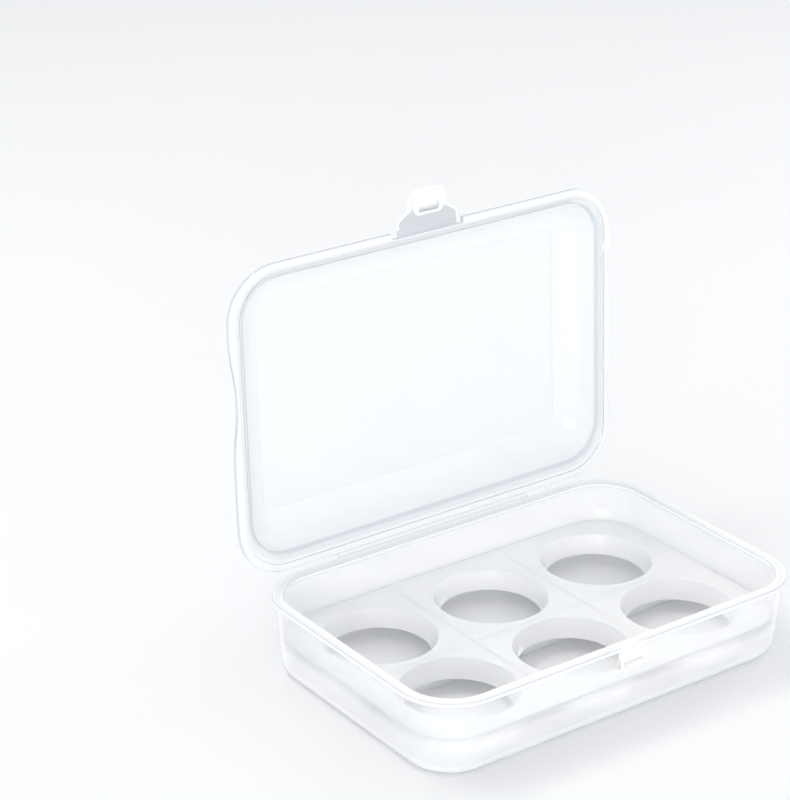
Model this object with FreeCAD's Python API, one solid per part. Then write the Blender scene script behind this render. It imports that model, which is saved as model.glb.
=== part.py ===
import FreeCAD, Part
import math
import os

V = FreeCAD.Vector
X_AXIS = V(1, 0, 0)

# Egg grid: a plate with collared wells, standing on ribs (all sizes in millimetres)
WELLS_ALONG = 3
WELLS_ACROSS = 2
WELL_RADIUS = 22.3
WELL_TAPER = 2.3
COLLAR_WALL = 1.1
COLLAR_DEPTH = 7.9
LIP_HEIGHT = 3.2
LIP_WALL = 1.9
WEB_ALONG = 6.7
WEB_ACROSS = 2.2
MARGIN_ENDS = 7.5
MARGIN_SIDES = 6.45
PLATE_TOP = 15.5
PLATE_THICKNESS = 1.3
PLATE_CORNER = 17.5
WELL_EDGE_ROUND = 0.5
RIB_THICKNESS = 1.2
RIB_INSET = 6.0
LIFT_CLEARANCE = 0.6

# Tray: drafted walls, flat bead rim, front catch
WALL = 1.5
FLOOR = 1.6
WALL_DRAFT_DEG = 4.8
FOOT_ROUND = 5.0
INNER_FOOT_ROUND = 3.5
TRAY_HEIGHT = 32.0
RIM_THICKNESS = 1.9
RIM_OVERHANG = 1.2
RIM_INSIDE = 1.7
RIM_ROUND = 0.55
CATCH_WIDTH = 11.4
NOSE_WIDTH = 8.4
CATCH_SETBACK = 0.2
CATCH_FOOT = 1.6

# Lid: frame with wavy short sides, a thick edge strip and a channel inside it, dish with a round shoulder
SEAT_GAP = 0.3
FRAME_THICKNESS = 1.8
FRAME_SIDE_OVERHANG = 1.9
FRAME_FRONT_OVERHANG = 2.95
FRAME_CORNER = 21.0
FRAME_ROUND = 0.5
STRIP_SIDE_WIDTH = 3.4
STRIP_LONG_WIDTH = 2.9
STRIP_ROUND = 0.25
CHANNEL_CORNER = 17.8
CHANNEL_DEPTH = 0.6
DISH_SIDE_INSET = 4.3
DISH_BACK_INSET = 5.05
DISH_FRONT_INSET = 2.35
DISH_CORNER = 16.2
DISH_DEPTH = 13.5
DISH_DRAFT_DEG = 18.0
DISH_SHOULDER = 12.5
LID_WALL = 1.3
DISH_MOUTH_ROUND = 1.3
DISH_ROOT_ROUND = 1.0
# Scallops in the frame's short sides: how far each is from the corner's end, its length and its depth
LEFT_SCALLOP_START = 4.1
LEFT_SCALLOP_LENGTH = 52.0
LEFT_SCALLOP_DEPTH = 2.2
RIGHT_SCALLOP_START = 1.6
RIGHT_FRONT_LENGTH = 22.8
RIGHT_FRONT_DEPTH = 1.3
RIGHT_BACK_LENGTH = 27.7
RIGHT_BACK_DEPTH = 1.9

# Lid hinge film: behind the tray's back rim
OPEN_DEG = 93.0
HINGE_SETBACK = 1.85
HINGE_RISE = 0.65
LID_BACK_SETBACK = 0.15
FILM_LENGTH = 94.0
FILM_THICKNESS = 0.6

# Front latch and its film
LATCH_NOTCH_WIDTH = 34.0
LATCH_NOTCH_DEPTH = 2.4
LATCH_FILM_WIDTH = 27.8
LATCH_FILM_LENGTH = 3.1
LATCH_THICKNESS = 1.0
LATCH_ROOT_WIDTH = 29.2
LATCH_HEAD_WIDTH = 18.6
LATCH_ROOT_STRAIGHT = 2.5
LATCH_SHOULDER = 4.6
LATCH_HEAD_HEIGHT = 7.2
LATCH_TIP_ROUND = 5.0
LATCH_EDGE_ROUND = 0.3
HEAD_RAISE = 1.2
HEAD_ROUND = 2.6
HEAD_WIDTH_NEAR = 13.2
HEAD_WIDTH_FAR = 16.2
POCKET_SKIN = 0.5
POCKET_HEIGHT = 3.3
POCKET_WIDENING = 1.0
POCKET_CLEARANCE = 0.4
POCKET_ROUND = 0.8
POCKET_REACH = 5.5
POCKET_BAR = 1.2
HOOK_BAR = 4.2

# Worked out from the sizes above: the grid
collar_radius = WELL_RADIUS + COLLAR_WALL
pitch_along = 2 * collar_radius + WEB_ALONG
pitch_across = 2 * collar_radius + WEB_ACROSS
plate_half_x = pitch_along * (WELLS_ALONG - 1) / 2 + collar_radius + MARGIN_ENDS
plate_half_y = pitch_across * (WELLS_ACROSS - 1) / 2 + collar_radius + MARGIN_SIDES
plate_bottom = PLATE_TOP - PLATE_THICKNESS
lip_bottom = PLATE_TOP - COLLAR_DEPTH
columns = [(i - (WELLS_ALONG - 1) / 2) * pitch_along for i in range(WELLS_ALONG)]
rows = [(j - (WELLS_ACROSS - 1) / 2) * pitch_across for j in range(WELLS_ACROSS)]

# The tray's rim leaves room to lift the plate out, and its wall leans in below the rim
rim_bottom = TRAY_HEIGHT - RIM_THICKNESS
wall_slope = math.tan(math.radians(WALL_DRAFT_DEG))
rim_width = RIM_INSIDE + WALL + RIM_OVERHANG
rim_half_x = plate_half_x + LIFT_CLEARANCE + rim_width
rim_half_y = plate_half_y + LIFT_CLEARANCE + rim_width
rim_corner = PLATE_CORNER + LIFT_CLEARANCE + rim_width

# The lid, as it lies when shut
seat_z = TRAY_HEIGHT + SEAT_GAP
hinge_y = rim_half_y + HINGE_SETBACK
hinge_z = TRAY_HEIGHT + HINGE_RISE
frame_half_x = rim_half_x + FRAME_SIDE_OVERHANG
frame_back_y = hinge_y - LID_BACK_SETBACK
frame_front_y = -rim_half_y - FRAME_FRONT_OVERHANG
dish_half_x = rim_half_x - DISH_SIDE_INSET
dish_back_y = rim_half_y - DISH_BACK_INSET
dish_front_y = -rim_half_y + DISH_FRONT_INSET

# The latch, as it lies when the lid is shut and the latch stands straight out
notch_y = frame_front_y + LATCH_NOTCH_DEPTH
latch_axis_y = notch_y - LATCH_FILM_LENGTH / 2
latch_axis_z = seat_z + LATCH_THICKNESS / 2
pocket_near = LATCH_FILM_LENGTH / 2 + POCKET_REACH
pocket_far = pocket_near + POCKET_HEIGHT
pocket_width = NOSE_WIDTH + 2 * POCKET_CLEARANCE


def corner_arc(centre_x, centre_y, radius, start_deg, z):
    """A quarter circle, from start_deg anticlockwise."""
    points = []
    for turn in (0, 45, 90):
        angle = math.radians(start_deg + turn)
        points.append(V(centre_x + radius * math.cos(angle), centre_y + radius * math.sin(angle), z))
    return Part.Arc(*points).toShape()


def line(start, end):
    return Part.LineSegment(start, end).toShape()


def rounded_outline(half_x, front_y, back_y, radius, z):
    """A rectangle with round corners at height z, as one closed wire."""
    left, right = -half_x + radius, half_x - radius
    front, back = front_y + radius, back_y - radius
    edges = [
        line(V(left, front_y, z), V(right, front_y, z)),
        corner_arc(right, front, radius, 270, z),
        line(V(half_x, front, z), V(half_x, back, z)),
        corner_arc(right, back, radius, 0, z),
        line(V(right, back_y, z), V(left, back_y, z)),
        corner_arc(left, back, radius, 90, z),
        line(V(-half_x, back, z), V(-half_x, front, z)),
        corner_arc(left, front, radius, 180, z),
    ]
    return Part.Wire(edges)


def raised(wire, height):
    return Part.Face(wire).extrude(V(0, 0, height))


def tapered(low, high):
    return Part.makeLoft([low, high], True, True)


def box_between(low, high):
    return Part.makeBox(high.x - low.x, high.y - low.y, high.z - low.z, low)


def edges_at(shape, z):
    """The edges of a shape that lie flat at height z."""
    return [e for e in shape.Edges if abs(e.BoundBox.ZMin - z) < 1e-4 and abs(e.BoundBox.ZMax - z) < 1e-4]


def tray_outline(z, inset):
    """The wall's outline at height z, inset from its outer face."""
    lean = RIM_OVERHANG + wall_slope * (rim_bottom - z) + inset
    half_y = rim_half_y - lean
    return rounded_outline(rim_half_x - lean, -half_y, half_y, rim_corner - lean, z)


def wall_front(z):
    """Where the tray's front wall has its outer face at height z."""
    return -(rim_half_y - RIM_OVERHANG - wall_slope * (rim_bottom - z))


def front_catch():
    """A buttress under the rim with a nose that goes into the latch's pocket."""
    nose_top = latch_axis_z - pocket_near - POCKET_CLEARANCE
    nose_low = latch_axis_z - pocket_far + POCKET_CLEARANCE
    nose_tip = latch_axis_y - LATCH_THICKNESS / 2 + POCKET_SKIN + POCKET_CLEARANCE
    face_y = -rim_half_y + CATCH_SETBACK
    root_low = nose_low - CATCH_FOOT
    slope = (nose_top - nose_low) / 4
    buttress = [
        (wall_front(rim_bottom) + WALL / 2, rim_bottom),
        (face_y, rim_bottom),
        (face_y, nose_low),
        (wall_front(root_low) + WALL / 2, root_low),
    ]
    nose = [
        (wall_front(nose_top) + WALL / 2, nose_top),
        (face_y, nose_top),
        (nose_tip, nose_top - slope),
        (nose_tip, nose_low + slope),
        (face_y, nose_low),
        (wall_front(nose_low) + WALL / 2, nose_low),
    ]
    solids = []
    for width, profile in ((CATCH_WIDTH, buttress), (NOSE_WIDTH, nose)):
        points = [V(-width / 2, y, z) for y, z in profile]
        face = Part.Face(Part.makePolygon(points + points[:1]))
        solids.append(face.extrude(V(width, 0, 0)))
    return solids[0].fuse(solids[1]).removeSplitter()


def rim_ring():
    """The flat bead on top of the wall, with rounded edges."""
    outer = rounded_outline(rim_half_x, -rim_half_y, rim_half_y, rim_corner, rim_bottom)
    inner_x, inner_y = rim_half_x - rim_width, rim_half_y - rim_width
    inner = rounded_outline(inner_x, -inner_y, inner_y, rim_corner - rim_width, rim_bottom)
    ring = raised(outer, RIM_THICKNESS).cut(raised(inner, RIM_THICKNESS))
    return ring.makeFillet(RIM_ROUND, edges_at(ring, rim_bottom) + edges_at(ring, TRAY_HEIGHT))


def base_tray():
    shell = tapered(tray_outline(0, 0), tray_outline(rim_bottom + RIM_THICKNESS / 2, 0))
    shell = shell.makeFillet(FOOT_ROUND, edges_at(shell, 0))
    inside = tapered(tray_outline(FLOOR, WALL), tray_outline(TRAY_HEIGHT, WALL))
    inside = inside.makeFillet(INNER_FOOT_ROUND, edges_at(inside, FLOOR))
    return shell.cut(inside).fuse([rim_ring(), front_catch().cut(inside)]).removeSplitter()


def egg_grid():
    plate = raised(
        rounded_outline(plate_half_x, -plate_half_y, plate_half_y, PLATE_CORNER, plate_bottom), PLATE_THICKNESS
    )
    low_radius = WELL_RADIUS - WELL_TAPER
    collars = []
    wells = []
    for foot in [V(x, y, lip_bottom) for x in columns for y in rows]:
        collars.append(Part.makeCone(low_radius + COLLAR_WALL, collar_radius, COLLAR_DEPTH, foot))
        collars.append(Part.makeCylinder(low_radius + LIP_WALL, LIP_HEIGHT, foot))
        wells.append(Part.makeCone(low_radius, WELL_RADIUS, COLLAR_DEPTH, foot))
    rib_x = plate_half_x - RIB_INSET
    rib_y = plate_half_y - RIB_INSET
    half = RIB_THICKNESS / 2
    ribs = [box_between(V(-rib_x, -half, FLOOR), V(rib_x, half, plate_bottom))]
    for left, right in zip(columns, columns[1:]):
        x = (left + right) / 2
        ribs.append(box_between(V(x - half, -rib_y, FLOOR), V(x + half, rib_y, plate_bottom)))
    grid = plate.fuse(collars + ribs).cut(Part.makeCompound(wells)).removeSplitter()
    around = 2 * math.pi * WELL_RADIUS
    mouths = [e for e in edges_at(grid, PLATE_TOP) if abs(e.Length - around) < WELL_EDGE_ROUND]
    return grid.makeFillet(WELL_EDGE_ROUND, mouths)


def scalloped_side(x, front, back, scallops, z):
    """One short side of the frame, front to back: straight, with shallow scallops of three arcs each.
    Each scallop is the middle of its length, its length and its depth."""
    inward = -1 if x > 0 else 1
    edges = []
    y = front
    for centre, length, depth in scallops:
        quarter = length / 4
        radius = (quarter ** 2 + (depth / 2) ** 2) / depth
        sink = radius - math.sqrt(radius ** 2 - (quarter / 2) ** 2)
        bends = (
            ((-2, 0), (-1.5, sink), (-1, depth / 2)),
            ((-1, depth / 2), (0, depth), (1, depth / 2)),
            ((1, depth / 2), (1.5, sink), (2, 0)),
        )
        edges.append(line(V(x, y, z), V(x, centre - 2 * quarter, z)))
        for bend in bends:
            edges.append(Part.Arc(*[V(x + inward * dip, centre + k * quarter, z) for k, dip in bend]).toShape())
        y = centre + 2 * quarter
    edges.append(line(V(x, y, z), V(x, back, z)))
    return edges


def frame_outline(z):
    """The lid's outer outline, with the scallops on its short sides."""
    right = frame_half_x - FRAME_CORNER
    front, back = frame_front_y + FRAME_CORNER, frame_back_y - FRAME_CORNER
    left_middle = front + LEFT_SCALLOP_START + LEFT_SCALLOP_LENGTH / 2
    left_scallops = [(left_middle, LEFT_SCALLOP_LENGTH, LEFT_SCALLOP_DEPTH)]
    front_middle = front + RIGHT_SCALLOP_START + RIGHT_FRONT_LENGTH / 2
    back_middle = back - RIGHT_SCALLOP_START - RIGHT_BACK_LENGTH / 2
    right_scallops = [
        (front_middle, RIGHT_FRONT_LENGTH, RIGHT_FRONT_DEPTH),
        (back_middle, RIGHT_BACK_LENGTH, RIGHT_BACK_DEPTH),
    ]
    edges = [line(V(-right, frame_front_y, z), V(right, frame_front_y, z))]
    edges.append(corner_arc(right, front, FRAME_CORNER, 270, z))
    edges += scalloped_side(frame_half_x, front, back, right_scallops, z)
    edges.append(corner_arc(right, back, FRAME_CORNER, 0, z))
    edges.append(line(V(right, frame_back_y, z), V(-right, frame_back_y, z)))
    edges.append(corner_arc(-right, back, FRAME_CORNER, 90, z))
    edges += scalloped_side(-frame_half_x, front, back, left_scallops, z)
    edges.append(corner_arc(-right, front, FRAME_CORNER, 180, z))
    return Part.Wire(Part.__sortEdges__(edges))


def dish_solid(grow):
    """The dish as a filled solid, grown outwards by the wall for its outer face."""
    height = DISH_DEPTH + grow
    lean = height * math.tan(math.radians(DISH_DRAFT_DEG))
    outlines = []
    for inset, z in ((-grow, seat_z), (lean - grow, seat_z + height)):
        outlines.append(
            rounded_outline(
                dish_half_x - inset, dish_front_y + inset, dish_back_y - inset, DISH_CORNER - inset, z
            )
        )
    solid = tapered(*outlines)
    return solid.makeFillet(DISH_SHOULDER + grow, edges_at(solid, seat_z + height))


def edges_within(shape, z, half_x, front_y, back_y):
    """The edges of a shape that lie flat at height z, inside a rectangle."""
    found = []
    for edge in edges_at(shape, z):
        box = edge.BoundBox
        if max(-box.XMin, box.XMax) < half_x and box.YMin > front_y and box.YMax < back_y:
            found.append(edge)
    return found


def round_the_dish(shape, z, margin):
    """The edges that run round the dish at height z, no further out than the margin from its mouth."""
    return edges_within(shape, z, dish_half_x + margin, dish_front_y - margin, dish_back_y + margin)


def lid_frame():
    """The frame with rounded edges, and a channel between its edge strip and the dish."""
    frame = raised(frame_outline(seat_z), FRAME_THICKNESS)
    frame = frame.makeFillet(FRAME_ROUND, edges_at(frame, seat_z) + edges_at(frame, seat_z + FRAME_THICKNESS))
    half_x = frame_half_x - STRIP_SIDE_WIDTH
    front_y, back_y = frame_front_y + STRIP_LONG_WIDTH, frame_back_y - STRIP_LONG_WIDTH
    frame = frame.cut(raised(rounded_outline(half_x, front_y, back_y, CHANNEL_CORNER, seat_z), CHANNEL_DEPTH))
    spare = STRIP_ROUND / 2
    inner = edges_within(frame, seat_z, half_x + spare, front_y - spare, back_y + spare)
    return frame.makeFillet(STRIP_ROUND, inner)


def lid_shut():
    frame_top = seat_z + FRAME_THICKNESS
    notch = box_between(
        V(-LATCH_NOTCH_WIDTH / 2, 2 * frame_front_y, seat_z),
        V(LATCH_NOTCH_WIDTH / 2, notch_y, frame_top),
    )
    lid = lid_frame().cut(notch).fuse(dish_solid(LID_WALL)).removeSplitter()
    lid = lid.makeFillet(DISH_ROOT_ROUND, round_the_dish(lid, frame_top, LID_WALL))
    lid = lid.cut(dish_solid(0)).removeSplitter()
    return lid.makeFillet(DISH_MOUTH_ROUND, round_the_dish(lid, seat_z, LID_WALL / 2))


def latch_point(across, out, up=0.0):
    """A point on the latch: across the box, out from its fold line, and up from it."""
    return V(across, latch_axis_y - out, latch_axis_z + up)


def latch_outline():
    """Wide straight root, a smooth shoulder on each side, and a narrower head with round corners."""
    root = LATCH_FILM_LENGTH / 2
    shoulder = root + LATCH_ROOT_STRAIGHT
    neck = shoulder + LATCH_SHOULDER
    tip = neck + LATCH_HEAD_HEIGHT
    wide, slim = LATCH_ROOT_WIDTH / 2, LATCH_HEAD_WIDTH / 2
    under = -LATCH_THICKNESS / 2
    edges = [line(latch_point(-wide, root, under), latch_point(wide, root, under))]
    for side in (-1, 1):
        edges.append(line(latch_point(side * wide, root, under), latch_point(side * wide, shoulder, under)))
        bend = Part.BezierCurve()
        bend.setPoles([
            latch_point(side * wide, shoulder, under),
            latch_point(side * wide, (shoulder + neck) / 2, under),
            latch_point(side * slim, (shoulder + neck) / 2, under),
            latch_point(side * slim, neck, under),
        ])
        edges.append(bend.toShape())
        corner = tip - LATCH_TIP_ROUND
        edges.append(line(latch_point(side * slim, neck, under), latch_point(side * slim, corner, under)))
        middle = LATCH_TIP_ROUND * math.sqrt(0.5)
        edges.append(Part.Arc(
            latch_point(side * slim, corner, under),
            latch_point(side * (slim - LATCH_TIP_ROUND + middle), corner + middle, under),
            latch_point(side * (slim - LATCH_TIP_ROUND), tip, under),
        ).toShape())
    top = slim - LATCH_TIP_ROUND
    edges.append(line(latch_point(-top, tip, under), latch_point(top, tip, under)))
    return Part.Wire(Part.__sortEdges__(edges))


def latch_block(near, near_width, far, far_width, low, high, corner):
    """A block on the latch that widens from near to far along it, with round corners, from low to high."""
    points = [
        latch_point(-near_width / 2, near, low),
        latch_point(near_width / 2, near, low),
        latch_point(far_width / 2, far, low),
        latch_point(-far_width / 2, far, low),
    ]
    block = raised(Part.makePolygon(points + points[:1]), high - low)
    upright = [e for e in block.Edges if abs(e.BoundBox.ZLength - (high - low)) < 1e-4]
    return block.makeFillet(corner, upright)


def latch_straight():
    """The flap, with a raised head whose blind pocket takes the catch's nose."""
    under, over = -LATCH_THICKNESS / 2, LATCH_THICKNESS / 2
    plate = raised(latch_outline(), LATCH_THICKNESS)
    root_y = latch_axis_y - LATCH_FILM_LENGTH / 2
    edges = edges_at(plate, latch_axis_z + under) + edges_at(plate, latch_axis_z + over)
    plate = plate.makeFillet(LATCH_EDGE_ROUND, [e for e in edges if e.BoundBox.YMin < root_y - LATCH_EDGE_ROUND])
    head = latch_block(
        pocket_near - POCKET_BAR, HEAD_WIDTH_NEAR, pocket_far + HOOK_BAR, HEAD_WIDTH_FAR,
        under - HEAD_RAISE, over - POCKET_SKIN, HEAD_ROUND,
    )
    head = head.makeFillet(LATCH_EDGE_ROUND, edges_at(head, latch_axis_z + under - HEAD_RAISE))
    pocket = latch_block(
        pocket_near, pocket_width, pocket_far, pocket_width + POCKET_WIDENING,
        under - HEAD_RAISE, over - POCKET_SKIN, POCKET_ROUND,
    )
    return plate.fuse(head).removeSplitter().cut(pocket)


def latch_film_straight():
    half = FILM_THICKNESS / 2
    return box_between(
        V(-LATCH_FILM_WIDTH / 2, notch_y - LATCH_FILM_LENGTH, latch_axis_z - half),
        V(LATCH_FILM_WIDTH / 2, notch_y, latch_axis_z + half),
    )


def opened(shape):
    """Swings a shape of the shut lid up about the hinge line, to where it stands at rest."""
    turned = shape.copy()
    turned.rotate(V(0, hinge_y, hinge_z), -X_AXIS, OPEN_DEG)
    return turned


def lid_hinge_film():
    """A thin strip from the rim's back face, bent up to the standing lid's back edge."""
    angle = math.radians(OPEN_DEG)
    along = V(0, -math.cos(angle), math.sin(angle))
    outward = V(0, math.sin(angle), math.cos(angle))
    start = V(0, rim_half_y, TRAY_HEIGHT - RIM_THICKNESS / 2)
    end = V(0, hinge_y, hinge_z) + along * LID_BACK_SETBACK
    end = end + outward * (seat_z + FRAME_THICKNESS / 2 - hinge_z)
    run_up = (end.z - start.z) / along.z
    run_out = end.y - along.y * run_up - start.y
    tangent = min(run_up, run_out)
    radius = tangent / math.tan(angle / 2)
    bend_start = start + V(0, run_out - tangent, 0)
    bend_end = end - along * (run_up - tangent)
    centre = bend_start + V(0, 0, radius)
    half_angle = angle / 2
    middle = V(0, math.sin(half_angle), -math.cos(half_angle))
    sides = []
    for offset in (FILM_THICKNESS / 2, -FILM_THICKNESS / 2):
        first = start - V(0, 0, offset)
        last = end + outward * offset
        low = bend_start - V(0, 0, offset)
        high = bend_end + outward * offset
        edges = [Part.Arc(low, centre + middle * (radius + offset), high).toShape()]
        if low.distanceToPoint(first) > 1e-6:
            edges.insert(0, line(first, low))
        if high.distanceToPoint(last) > 1e-6:
            edges.append(line(high, last))
        sides.append((first, last, edges))
    (first_a, last_a, edges_a), (first_b, last_b, edges_b) = sides
    loop = Part.Wire(Part.__sortEdges__(edges_a + edges_b + [line(first_a, first_b), line(last_a, last_b)]))
    strip = Part.Face(loop).extrude(V(FILM_LENGTH, 0, 0))
    strip.translate(V(-FILM_LENGTH / 2, 0, 0))
    return strip


nodes = {
    "base_tray": base_tray(),
    "egg_grid": egg_grid(),
    "lid": opened(lid_shut()),
    "lid_hinge_film": lid_hinge_film(),
    "front_latch": opened(latch_straight()),
    "latch_film": opened(latch_film_straight()),
}

os.makedirs("parts", exist_ok=True)
for name, shape in nodes.items():
    shape.exportStep("parts/" + name + ".step")
    print(name, len(shape.Solids), "valid" if shape.isValid() else "NOT VALID", round(shape.Volume, 1))
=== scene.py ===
import math
from collections import namedtuple

import bmesh
import bpy
from mathutils import Matrix, Vector


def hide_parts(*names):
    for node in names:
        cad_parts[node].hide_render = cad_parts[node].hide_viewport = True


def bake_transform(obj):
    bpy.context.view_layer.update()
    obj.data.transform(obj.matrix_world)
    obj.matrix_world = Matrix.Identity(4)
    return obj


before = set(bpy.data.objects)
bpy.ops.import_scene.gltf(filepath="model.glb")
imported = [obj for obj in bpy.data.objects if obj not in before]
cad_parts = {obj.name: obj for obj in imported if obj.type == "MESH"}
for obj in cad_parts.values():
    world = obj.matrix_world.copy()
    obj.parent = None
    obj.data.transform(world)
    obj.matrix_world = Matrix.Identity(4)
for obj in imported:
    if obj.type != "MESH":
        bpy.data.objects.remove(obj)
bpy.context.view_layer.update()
scene = bpy.context.scene
scene.view_settings.view_transform = "Standard"
scene.cycles.max_bounces = 32
scene.cycles.diffuse_bounces = 16
scene.cycles.glossy_bounces = 12
scene.cycles.transmission_bounces = 32

MM = 0.001
UP = (0, 0, 1)
DOWN = (0, 0, -1)
FRONT = (0, -1, 0)
BACK = (0, 1, 0)
LEFT = (-1, 0, 0)
RIGHT = (1, 0, 0)

# Fold lines and films of the box, in millimetres
OPEN_DEG = 93.0
HINGE_Y = 61.2
HINGE_Z = 32.65
TRAY_HEIGHT = 32.0
RIM_THICKNESS = 1.9
RIM_BACK_Y = 59.35
LID_BACK_SETBACK = 0.15
SEAT_RISE = -0.35
FRAME_THICKNESS = 1.8
FILM_LENGTH = 94.0
FILM_THICKNESS = 0.6
FILM_FOLD = 0.36
LATCH_FILM_WIDTH = 27.8
LATCH_FILM_START = 121.1
LATCH_FILM_LENGTH = 3.1
LATCH_FILM_RISE = 0.15
# Hairline left at a film's ends, so that no two faces coincide
FILM_END_GAP = 0.02
# How finely the films are divided: along the fold, round the bend and on the straight before it
HINGE_SLICES = 48
HINGE_BENDS = 16
HINGE_STRAIGHTS = 3
LATCH_SLICES = 16
LATCH_STEPS = 16
# Edges sharper than this stay sharp
SHARP_DEG = 40.0

# Bead round the lid's dish, along which shade is painted: half its length, where it lies back and front of
# the hinge line, its corners
BEAD_HALF_X = 86.4
BEAD_BACK = 5.6
BEAD_FRONT = 119.5
BEAD_CORNER = 17.5
BEAD_FROM = 0.5
BEAD_WIDTH = 3.3
BEAD_DEPTH = 2.2
BEAD_FADE = 0.6
CHANNEL_WIDTH = 1.6
BAND_SOFT = 0.4
# The dish's flat floor inside its round shoulder, painted a cooler shade, and the painted shade line round it
PANEL_INSET = 14.8
PANEL_LINE = 0.6
PANEL_CLEAR = 0.40
# Above the seat, the heights between which the lid's flat frame ends
LID_FRAME = (2.6, 2.0)

# The catch: half its width, how far forward it begins, how low it reaches, and how softly each of these ends
CATCH_HALF = 5.8
CATCH_HALF_SOFT = 0.3
CATCH_FROM = 57.0
CATCH_FROM_SOFT = 0.2
CATCH_LOW = 20.5
CATCH_LOW_SOFT = 0.5
CATCH_CLEAR = 0.2
# Heights on the tray between which its zones come in
INNER_FLOOR = (2.4, 1.8)
FOOT = (6.0, 3.0)
UPPER_WALL = (12.0, 16.5)
RIM = (29.7, 30.2)
# Distances from the middle past which a face that looks inward is a wall's inner side
LONG_WALL = (30.0, 40.0)
END_WALL = (60.0, 70.0)

# The latch's thin flap between its thicker edges, painted a darker shade: from its fold line, where it is
# wide and where it is narrow
FLAP_WIDE_TO = 3.6
FLAP_NARROW_FROM = 8.6
FLAP_HALF_WIDE = 13.8
FLAP_HALF_NARROW = 8.4
FLAP_SOFT = 0.5
FLAP_END = 9.0
FLAP_END_FADE = 2.0
# Past the seat, the heights between which the raised head gives way to the flap
FLAP_LOW = (-0.6, -0.2)

# Patterns in the plastic, as counts in a metre
DRIFT_COUNT = 16.0
GLOSS_COUNT = 70.0
WAVE_COUNT = 22.0
GRAIN_COUNT = 1600.0
SCRATCH_COUNTS = (60.0, 1500.0, 1500.0)
# What stands out of its surface: heights in metres, and strengths
WAVE_HEIGHT = 0.0006
GRAIN_HEIGHT = 0.00004
GRAIN_STRENGTH = 0.03
SCRATCH_HEIGHT = 0.00002
SCRATCH_STRENGTH = 0.08
# How far the cloudy drift changes how see-through it is, and how much it bends light
DRIFT_CLEAR = 0.03
PLASTIC_IOR = 1.49
# How squarely a face looks along a direction: to count as looking that way, as slanting, and as flat
LOOKING = (0.3, 0.6)
SLANTING = (0.15, 0.4)
FLAT = (0.97, 0.85)

# Tints of the plastic
CLEAR = (0.988, 0.993, 0.998, 1.0)
CLOUDY = (0.994, 0.996, 0.999, 1.0)
WHITE = (0.997, 0.998, 0.999, 1.0)
LID_CLEAR = (0.95, 0.96, 0.97, 1.0)
LID_CLOUDY = (0.957, 0.965, 0.973, 1.0)
# Painted shade for slanting edges, standing in for the dark lines that light makes there
EDGE_SHADE = (0.72, 0.76, 0.80, 1.0)
# Painted shade for the lid's channel and bead
CHANNEL_SHADE = (0.895, 0.915, 0.93, 1.0)
BEAD_SHADE = (0.80, 0.82, 0.83, 1.0)
# Painted shade for the dish's flat floor and the line round it
PANEL_SHADE = (0.935, 0.962, 0.985, 1.0)
LINE_SHADE = (0.85, 0.87, 0.89, 1.0)
# Painted shade for the latch's flap and its fold
FLAP_SHADE = (0.655, 0.68, 0.71, 1.0)
FOLD_SHADE = (0.70, 0.725, 0.755, 1.0)

# The floor lies this far under the tray in millimetres, so that the two faces don't coincide
FLOOR_GAP = 0.3
FLOOR_HALF = 4.0
FLOOR_CELLS = 8
FLOOR_PAINTS = ((0.875, 0.878, 0.882, 1.0), (0.888, 0.89, 0.893, 1.0))
FLOOR_ROUGHNESS = 0.6
# Distances in metres between which the floor's glow comes in, how strong it is, and its colour
FLOOR_GLOW_FROM = 1.1
FLOOR_GLOW_TO = 2.6
FLOOR_GLOW = 0.2
FLOOR_GLOW_COLOUR = (0.96, 0.98, 1.0, 1.0)
# Sky: its colour at the horizon, higher up, how high that is, and how bright it is
SKY_LOW = (0.92, 0.95, 1.0, 1.0)
SKY_HIGH = (0.84, 0.85, 0.865, 1.0)
SKY_TURN = 0.45
SKY_STRENGTH = 0.94

# Camera: where it stands, where it looks and its small tilt to one side
EYE = Vector((-0.554605, -0.669418, 0.486829))
LOOK = Vector((0.541223, 0.739252, -0.400730))
TILT_DEG = 0.156
LENS = 115.663
SENSOR = 36.0
NEAR = 0.01
FAR = 50.0

opened = math.radians(OPEN_DEG)
hinge = Vector((0, HINGE_Y, HINGE_Z))
up_lid = Vector((0, -math.cos(opened), math.sin(opened)))
out_lid = Vector((0, math.sin(opened), math.cos(opened)))
seat = out_lid.dot(hinge) + SEAT_RISE

# Part of a piece with its own look: it comes in between two distances in millimetres along a direction, may
# be only on the faces that look one way, and may paint shade onto slanting edges, upright ones too where
# upright is 1
Zone = namedtuple("Zone", "direction begins ends clear looking edge upright", defaults=(None, None, 0.0))


def lid_point(s, n):
    """A point of the standing lid's middle plane: s up from the hinge line and n out from it."""
    return hinge + up_lid * s + out_lid * n


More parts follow.
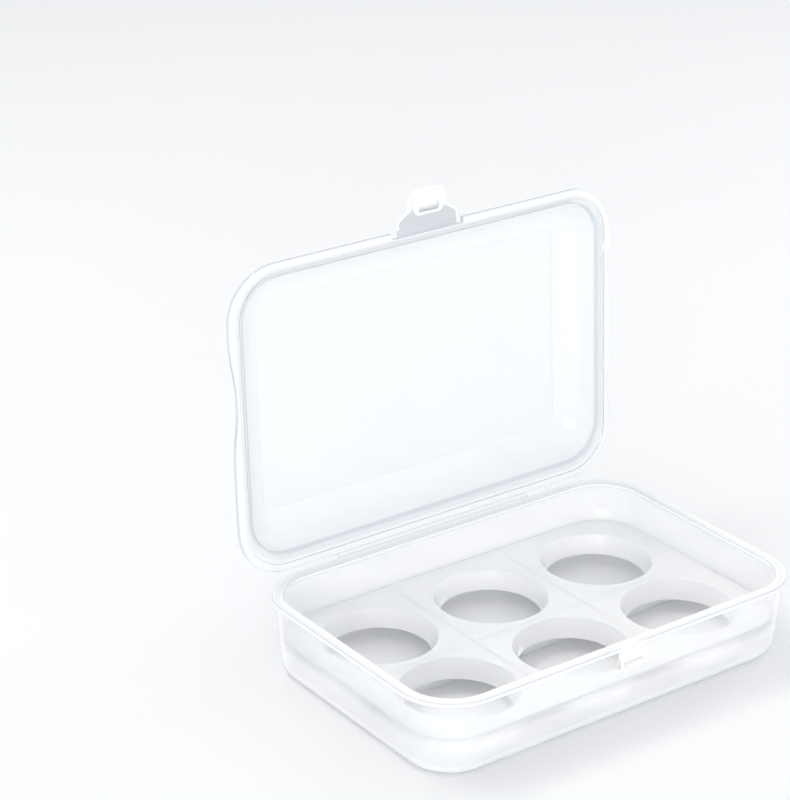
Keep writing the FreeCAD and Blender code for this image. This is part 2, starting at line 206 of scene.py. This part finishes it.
class Nodes:
    """A material's nodes, added one by one and joined by name."""

    def __init__(self, name):
        self.material = bpy.data.materials.new(name)
        self.material.use_nodes = True
        self.tree = self.material.node_tree
        self.tree.nodes.clear()

    def add(self, kind, inputs=None, **settings):
        node = self.tree.nodes.new("ShaderNode" + kind)
        for key, value in settings.items():
            setattr(node, key, value)
        for key, value in (inputs or {}).items():
            self.put(node, key, value)
        return node

    def put(self, node, key, value):
        if isinstance(value, bpy.types.NodeSocket):
            self.tree.links.new(value, node.inputs[key])
        else:
            node.inputs[key].default_value = value

    def noise(self, at, scale, detail=2.0, roughness=0.5):
        node = self.add("TexNoise", {"Vector": at, "Scale": scale, "Detail": detail, "Roughness": roughness})
        return node.outputs["Fac"]

    def span(self, value, low, high, to_low=0.0, to_high=1.0):
        node = self.add("MapRange", {
            "Value": value, "From Min": low, "From Max": high, "To Min": to_low, "To Max": to_high,
        })
        return node.outputs["Result"]

    def single(self, operation, a):
        return self.add("Math", {0: a}, operation=operation).outputs["Value"]

    def math(self, operation, a, b):
        return self.add("Math", {0: a, 1: b}, operation=operation).outputs["Value"]

    def dot(self, a, b):
        return self.add("VectorMath", {0: a, 1: b}, operation="DOT_PRODUCT").outputs["Value"]

    def between(self, share, a, b):
        return self.add("Mix", {"Factor": share, "A": a, "B": b}).outputs["Result"]

    def mix(self, share, a, b):
        return self.add("Mix", {"Factor": share, "A": a, "B": b}, data_type="RGBA").outputs["Result"]

    def bump(self, height, strength, distance, normal=None):
        inputs = {"Height": height, "Strength": strength, "Distance": distance}
        if normal is not None:
            inputs["Normal"] = normal
        return self.add("Bump", inputs).outputs["Normal"]


def plastic(name, tints, see_through, gloss, ripple, zones=(), bands=None, patch=None):
    """Moulded polypropylene: a cloudy tint that drifts with the flow, long faint flow waves, fine grain and
    hair scratches. It scatters where light goes in and lets it out clear. Zones come one after another and
    may paint shade onto slanting edges, bands are painted shade under them that follow another outline of the
    piece, and a patch lies over all of these."""
    n = Nodes(name)
    coordinates = n.add("TexCoord")
    at = coordinates.outputs["Object"]
    side = coordinates.outputs["Normal"]
    drift = n.span(n.noise(at, DRIFT_COUNT, 4.0, 0.55), 0.35, 0.65)
    tint = n.mix(drift, tints[0], tints[1])
    shine = n.span(n.noise(at, GLOSS_COUNT, 5.0, 0.6), 0.3, 0.7, gloss[0], gloss[1])
    stretched = n.add("Mapping", {"Vector": at, "Scale": SCRATCH_COUNTS}).outputs["Vector"]
    hairs = n.span(n.noise(stretched, 1.0), 0.66, 0.72)
    normal = n.bump(n.noise(at, WAVE_COUNT, 1.0), ripple, WAVE_HEIGHT)
    normal = n.bump(n.noise(at, GRAIN_COUNT, 1.0), GRAIN_STRENGTH, GRAIN_HEIGHT, normal)
    normal = n.bump(hairs, SCRATCH_STRENGTH, SCRATCH_HEIGHT, normal)
    clear = n.span(drift, 0.0, 1.0, see_through + DRIFT_CLEAR, see_through - DRIFT_CLEAR)
    if bands is not None:
        tint, clear = bands(n, at, tint, clear)
    for zone in zones:
        share = n.span(n.dot(at, zone.direction), zone.begins * MM, zone.ends * MM)
        if zone.looking is not None:
            share = n.math("MULTIPLY", share, n.span(n.dot(side, zone.looking), *LOOKING))
        clear = n.between(share, clear, zone.clear)
        if zone.edge is not None:
            # Painted shade: the zone's slanting faces are tinted darker, standing in for the dark edge lines
            # that light makes there
            facing = n.single("ABSOLUTE", n.dot(side, zone.direction))
            slant_shade = n.math("MULTIPLY", n.span(facing, *SLANTING, zone.upright), n.span(facing, *FLAT))
            tint = n.mix(n.math("MULTIPLY", slant_shade, share), tint, zone.edge)
    if patch is not None:
        tint, clear = patch(n, at, tint, clear)
    leaving = n.add("NewGeometry").outputs["Backfacing"]
    shader = n.add("BsdfPrincipled", {
        "Base Color": tint,
        "Roughness": shine,
        "IOR": PLASTIC_IOR,
        "Transmission Weight": n.math("MAXIMUM", leaving, clear),
        "Normal": normal,
    })
    n.add("OutputMaterial", {"Surface": shader.outputs["BSDF"]})
    return n.material


def lid_painted_shade(n, at, tint, clear):
    """Painted shade: the bead round the dish's mouth and the channel outside it are painted darker, for the
    shade of their sloping faces. The dish's flat floor is clearer than its shoulder and painted a cooler
    shade, with a painted shade line where the two meet."""
    x = n.single("ABSOLUTE", n.dot(at, RIGHT))
    middle = (BEAD_BACK + BEAD_FRONT) / 2
    rise = n.math("SUBTRACT", n.dot(at, tuple(up_lid)), (up_lid.dot(hinge) + middle) * MM)
    s = n.single("ABSOLUTE", rise)
    past_x = n.math("SUBTRACT", x, (BEAD_HALF_X - BEAD_CORNER) * MM)
    past_s = n.math("SUBTRACT", s, ((BEAD_FRONT - BEAD_BACK) / 2 - BEAD_CORNER) * MM)
    square_x = n.math("POWER", n.math("MAXIMUM", past_x, 0.0), 2.0)
    square_s = n.math("POWER", n.math("MAXIMUM", past_s, 0.0), 2.0)
    round_part = n.single("SQRT", n.math("ADD", square_x, square_s))
    straight_part = n.math("MINIMUM", n.math("MAXIMUM", past_x, past_s), 0.0)
    outside = n.math("SUBTRACT", n.math("ADD", round_part, straight_part), BEAD_CORNER * MM)
    soft = BAND_SOFT * MM
    wide = CHANNEL_WIDTH * MM
    deep = BEAD_WIDTH * MM
    channel = n.math("MULTIPLY", n.span(outside, wide, wide - soft), n.span(outside, -soft, 0.0))
    begins = -BEAD_FROM * MM
    bead = n.math("MULTIPLY", n.span(outside, begins, begins - soft), n.span(outside, -deep, soft - deep))
    depth = n.math("SUBTRACT", n.dot(at, tuple(out_lid)), seat * MM)
    bead = n.math("MULTIPLY", bead, n.span(depth, BEAD_DEPTH * MM, (BEAD_DEPTH - BEAD_FADE) * MM))
    deep_in = n.span(depth, BEAD_DEPTH * MM, 2 * BEAD_DEPTH * MM)
    # Painted shade on the channel and the bead
    tint = n.mix(channel, tint, CHANNEL_SHADE)
    tint = n.mix(bead, tint, BEAD_SHADE)
    # Painted shade: the dish's flat floor is tinted cooler, and a darker line is painted where it meets the
    # shoulder
    inset = PANEL_INSET * MM
    half = PANEL_LINE / 2 * MM
    panel = n.span(outside, half - inset, -half - inset)
    line = n.math("MULTIPLY", n.span(outside, half - inset, -inset), n.span(outside, -half - inset, -inset))
    tint = n.mix(n.math("MULTIPLY", line, deep_in), n.mix(panel, tint, PANEL_SHADE), LINE_SHADE)
    return tint, n.between(panel, clear, PANEL_CLEAR)


def catch_patch(n, at, tint, clear):
    """The catch is milky all through, and the rim above it gets no painted edge shade."""
    x = n.single("ABSOLUTE", n.dot(at, RIGHT))
    across = n.span(x, (CATCH_HALF + CATCH_HALF_SOFT) * MM, CATCH_HALF * MM)
    outward = n.span(n.dot(at, FRONT), CATCH_FROM * MM, (CATCH_FROM + CATCH_FROM_SOFT) * MM)
    high = n.span(n.dot(at, UP), CATCH_LOW * MM, (CATCH_LOW + CATCH_LOW_SOFT) * MM)
    share = n.math("MULTIPLY", n.math("MULTIPLY", across, outward), high)
    return n.mix(share, tint, WHITE), n.between(share, clear, CATCH_CLEAR)


def latch_painted_shade(n, at, tint, clear):
    """Painted shade: the thin flap is painted greyer than the latch's edges and its raised head."""
    x = n.single("ABSOLUTE", n.dot(at, RIGHT))
    fold = up_lid.dot(hinge) + LATCH_FILM_START + LATCH_FILM_LENGTH / 2
    out = n.math("SUBTRACT", n.dot(at, tuple(up_lid)), fold * MM)
    narrowing = n.add("MapRange", {
        "Value": out, "From Min": FLAP_WIDE_TO * MM, "From Max": FLAP_NARROW_FROM * MM,
        "To Min": FLAP_HALF_WIDE * MM, "To Max": FLAP_HALF_NARROW * MM,
    }, interpolation_type="SMOOTHSTEP")
    margin = n.math("SUBTRACT", narrowing.outputs["Result"], x)
    short = n.span(out, FLAP_END * MM, (FLAP_END - FLAP_END_FADE) * MM)
    flap = n.math("MULTIPLY", n.span(margin, 0.0, FLAP_SOFT * MM), short)
    depth = n.math("SUBTRACT", n.dot(at, tuple(out_lid)), seat * MM)
    low = n.span(depth, FLAP_LOW[0] * MM, FLAP_LOW[1] * MM)
    return n.mix(n.math("MULTIPLY", flap, low), tint, FLAP_SHADE), clear


def mesh_piece(name, bm, material):
    bmesh.ops.recalc_face_normals(bm, faces=bm.faces)
    mesh = bpy.data.meshes.new(name)
    bm.to_mesh(mesh)
    bm.free()
    mesh.shade_smooth()
    mesh.set_sharp_from_angle(angle=math.radians(SHARP_DEG))
    mesh.materials.append(material)
    piece = bpy.data.objects.new(name, mesh)
    scene.collection.objects.link(piece)
    return piece


def film(name, path, half_length, slices, material):
    """A thin strip along X, coined thinner at its fold. The path gives each point of the middle line, how
    far along it lies from 0 to 1, and its outward side."""
    bm = bmesh.new()
    loops = []
    for i in range(slices + 1):
        x = Vector((half_length * (2 * i / slices - 1), 0, 0))
        outer, inner = [], []
        for point, share, outward in path:
            fold = math.sin(math.pi * share) ** 2
            half = (FILM_THICKNESS + (FILM_FOLD - FILM_THICKNESS) * fold) / 2
            outer.append(bm.verts.new((x + point + outward * half) * MM))
            inner.append(bm.verts.new((x + point - outward * half) * MM))
        loops.append(outer + inner[::-1])
    for a, b in zip(loops, loops[1:]):
        for j in range(len(a)):
            k = (j + 1) % len(a)
            bm.faces.new((a[j], a[k], b[k], b[j]))
    bm.faces.new(loops[0])
    bm.faces.new(loops[-1][::-1])
    piece = mesh_piece(name, bm, material)
    return piece


def hinge_path(bends):
    """Out of the tray's back rim, then round a bend and up to the back edge of the lid's frame."""
    start = Vector((0, RIM_BACK_Y, TRAY_HEIGHT - RIM_THICKNESS / 2))
    end = lid_point(LID_BACK_SETBACK, SEAT_RISE + FRAME_THICKNESS / 2)
    run_up = (end.z - start.z) / up_lid.z
    run_out = end.y - up_lid.y * run_up - start.y
    radius = run_up / math.tan(opened / 2)
    centre = Vector((0, start.y + run_out - run_up, start.z + radius))
    straight = run_out - run_up
    whole = straight + radius * opened
    path = []
    for i in range(HINGE_STRAIGHTS):
        along = FILM_END_GAP + (straight - FILM_END_GAP) * i / HINGE_STRAIGHTS
        path.append((start + Vector((0, along, 0)), along / whole, Vector((0, 0, -1))))
    for i in range(bends + 1):
        turn = (opened - FILM_END_GAP / radius) * i / bends
        outward = Vector((0, math.sin(turn), -math.cos(turn)))
        path.append((centre + outward * radius, (straight + radius * turn) / whole, outward))
    return path, start, end


# The plastics. Walls, foot, rim and inner sides of the tray let different shares of light through
tray_finish = plastic(
    "tray_plastic", (CLEAR, CLOUDY), see_through=0.38, gloss=(0.02, 0.06), ripple=0.03,
    zones=(
        Zone(UP, *INNER_FLOOR, 0.08, looking=UP),
        Zone(UP, *FOOT, 0.12, looking=DOWN),
        Zone(UP, *UPPER_WALL, 0.70),
        Zone(BACK, *LONG_WALL, 0.42, looking=FRONT),
        Zone(FRONT, *LONG_WALL, 0.42, looking=BACK),
        Zone(RIGHT, *END_WALL, 0.42, looking=LEFT),
        Zone(LEFT, *END_WALL, 0.42, looking=RIGHT),
        # The rim's slanting edges get painted shade
        Zone(UP, *RIM, 0.14, edge=EDGE_SHADE),
    ),
    patch=catch_patch,
)
# The lid's frame: its slanting and upright edges get painted shade
lid_frame = Zone(tuple(out_lid), seat + LID_FRAME[0], seat + LID_FRAME[1], 0.25, edge=EDGE_SHADE, upright=1.0)
lid_finish = plastic(
    "lid_plastic", (LID_CLEAR, LID_CLOUDY), see_through=0.32, gloss=(0.03, 0.09), ripple=0.04,
    zones=(lid_frame,), bands=lid_painted_shade,
)
grid_finish = plastic(
    "insert_plastic", (CLOUDY, WHITE), see_through=0.18, gloss=(0.08, 0.16), ripple=0.03,
)
latch_finish = plastic(
    "latch_plastic", (CLOUDY, WHITE), see_through=0.25, gloss=(0.08, 0.18), ripple=0.04, bands=latch_painted_shade,
)
film_finish = plastic("film_plastic", (CLOUDY, WHITE), see_through=0.40, gloss=(0.12, 0.24), ripple=0.04)
# The latch's fold film is painted the same grey shade as the flap
fold_shade_finish = plastic("fold_shade_plastic", (FLAP_SHADE, FOLD_SHADE), see_through=0.30, gloss=(0.12, 0.24), ripple=0.04)
for node, finish in (
    ("base_tray", tray_finish),
    ("lid", lid_finish),
    ("egg_grid", grid_finish),
    ("front_latch", latch_finish),
):
    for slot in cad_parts[node].material_slots:
        slot.material = finish

# The two films, made afresh in place of the model's own: the hinge film bent round to the lid's opening, the
# latch's fold straight
path, start, end = hinge_path(HINGE_BENDS)
piece = film("hinge_film", path, FILM_LENGTH / 2, HINGE_SLICES, film_finish)
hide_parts("lid_hinge_film")
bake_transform(piece)

path = []
for i in range(LATCH_STEPS + 1):
    along = FILM_END_GAP + (LATCH_FILM_LENGTH - 2 * FILM_END_GAP) * i / LATCH_STEPS
    point = lid_point(LATCH_FILM_START + along, LATCH_FILM_RISE)
    path.append((point, along / LATCH_FILM_LENGTH, out_lid))
piece = film("latch_fold", path, LATCH_FILM_WIDTH / 2, LATCH_SLICES, fold_shade_finish)
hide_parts("latch_film")
start = lid_point(LATCH_FILM_START, LATCH_FILM_RISE)
end = lid_point(LATCH_FILM_START + LATCH_FILM_LENGTH, LATCH_FILM_RISE)
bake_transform(piece)

# Floor, which glows a little far from the box, so that it meets the sky without a dark band
bm = bmesh.new()
bmesh.ops.create_grid(bm, x_segments=FLOOR_CELLS, y_segments=FLOOR_CELLS, size=FLOOR_HALF)
n = Nodes("floor_paint")
at = n.add("TexCoord").outputs["Object"]
far = n.add("VectorMath", {0: at}, operation="LENGTH").outputs["Value"]
soft = n.span(n.noise(at, 3.0, 3.0), 0.3, 0.7)
shader = n.add("BsdfPrincipled", {
    "Base Color": n.mix(soft, *FLOOR_PAINTS),
    "Roughness": FLOOR_ROUGHNESS,
    "Emission Color": FLOOR_GLOW_COLOUR,
    "Emission Strength": n.span(far, FLOOR_GLOW_FROM, FLOOR_GLOW_TO, 0.0, FLOOR_GLOW),
})
n.add("OutputMaterial", {"Surface": shader.outputs["BSDF"]})
floor = mesh_piece("floor", bm, n.material)
floor.location.z = -FLOOR_GAP * MM

# Light
world = bpy.data.worlds.new("studio")
scene.world = world
world.use_nodes = True
tree = world.node_tree
sky = tree.nodes.new("ShaderNodeTexCoord")
height = tree.nodes.new("ShaderNodeSeparateXYZ")
shade = tree.nodes.new("ShaderNodeValToRGB")
tree.links.new(sky.outputs["Generated"], height.inputs["Vector"])
tree.links.new(height.outputs["Z"], shade.inputs["Fac"])
tree.links.new(shade.outputs["Color"], tree.nodes["Background"].inputs["Color"])
shade.color_ramp.elements[0].position = 0.0
shade.color_ramp.elements[0].color = SKY_LOW
shade.color_ramp.elements[1].position = SKY_TURN
shade.color_ramp.elements[1].color = SKY_HIGH
tree.nodes["Background"].inputs["Strength"].default_value = SKY_STRENGTH


def softbox(name, at, towards, size, power, colour):
    data = bpy.data.lights.new(name, "AREA")
    data.shape = "RECTANGLE"
    data.size, data.size_y = size
    data.energy = power
    data.color = colour
    lamp = bpy.data.objects.new(name, data)
    lamp.location = at
    lamp.rotation_euler = (Vector(towards) - Vector(at)).to_track_quat("-Z", "Y").to_euler()
    scene.collection.objects.link(lamp)


softbox(
    "top_light", at=(-0.35, 0.55, 1.2), towards=(0.0, 0.0, 0.05), size=(0.9, 0.12), power=4.2,
    colour=(1.0, 0.99, 0.98),
)
softbox(
    "side_light", at=(1.0, 0.1, 0.7), towards=(0.0, 0.0, 0.08), size=(0.5, 0.8), power=1.7,
    colour=(0.95, 0.98, 1.0),
)
softbox(
    "front_light", at=(-1.15, -1.52, 0.5), towards=(0.0, 0.0, 0.05), size=(1.2, 0.6), power=12.5,
    colour=(1.0, 1.0, 1.0),
)

# Camera
right = LOOK.cross(Vector(UP)).normalized()
above = right.cross(LOOK).normalized()
tilt = math.radians(TILT_DEG)
across = right * math.cos(tilt) + above * math.sin(tilt)
upward = above * math.cos(tilt) - right * math.sin(tilt)
back = -LOOK.normalized()
data = bpy.data.cameras.new("camera")
data.lens = LENS
data.sensor_width = SENSOR
data.clip_start = NEAR
data.clip_end = FAR
camera = bpy.data.objects.new("camera", data)
camera.matrix_world = Matrix((
    (across.x, upward.x, back.x, EYE.x),
    (across.y, upward.y, back.y, EYE.y),
    (across.z, upward.z, back.z, EYE.z),
    (0, 0, 0, 1),
))
scene.collection.objects.link(camera)
scene.camera = camera
